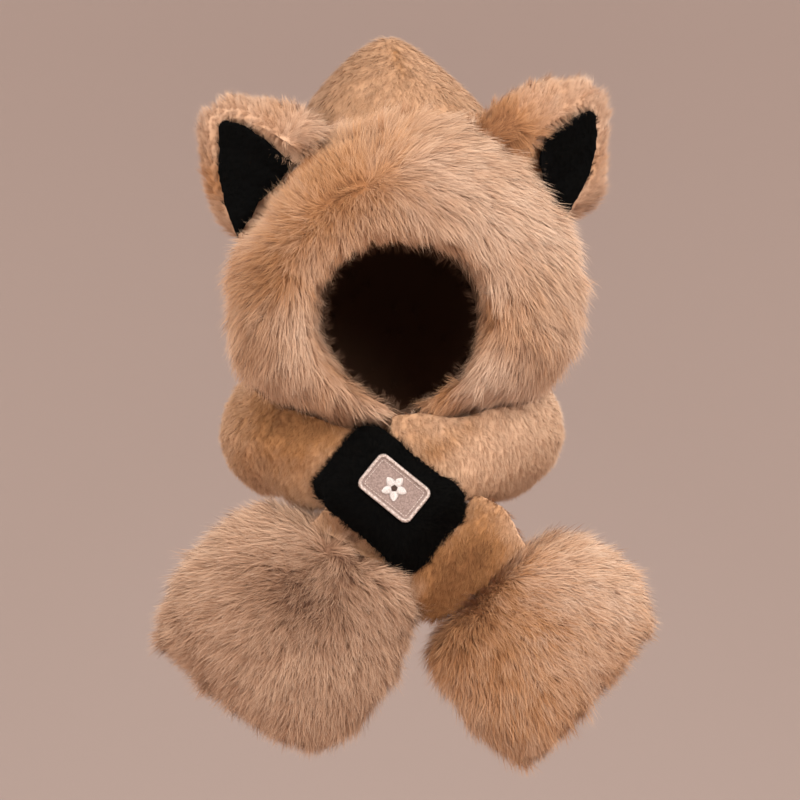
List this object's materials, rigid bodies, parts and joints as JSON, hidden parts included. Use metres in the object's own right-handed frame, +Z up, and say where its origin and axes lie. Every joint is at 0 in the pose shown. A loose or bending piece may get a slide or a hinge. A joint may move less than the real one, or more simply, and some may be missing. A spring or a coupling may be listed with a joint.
{
  "type": "animal hood scarf",
  "caption": "Fur hood with pointed crown, two upright ears and a thick fur roll round the face, joined to a scarf crossed under a plush keeper and ending in padded fur paws.",
  "frame": {"origin": "where the top of the head sits in the hood", "axes": "+Z up, the face opening looks along -Y, +X to the viewer's right from the front"},
  "size_m": [0.3986, 0.2717, 0.5996],
  "materials": {
    "tan_fur": "long-pile faux fur",
    "tan_plush": "short dense plush",
    "black_plush": "short black plush",
    "patch_cloth": "woven twill",
    "cream_thread": "embroidery thread",
    "brown_thread": "embroidery thread"
  },
  "bodies": {
    "root": {"hood_shell": "tan_plush", "hood_lining": "black_plush", "face_ruff": "tan_fur", "ear_left": "tan_fur", "ear_right": "tan_fur", "ear_inner_left": "black_plush", "ear_inner_right": "black_plush", "scarf_left": "tan_plush", "scarf_right": "tan_plush", "paw_left": "tan_fur", "paw_right": "tan_fur", "keeper": "black_plush", "patch_ground": "patch_cloth", "patch_edge": "cream_thread", "patch_flower": "cream_thread", "patch_flower_centre": "brown_thread"}
  },
  "joints": []
}
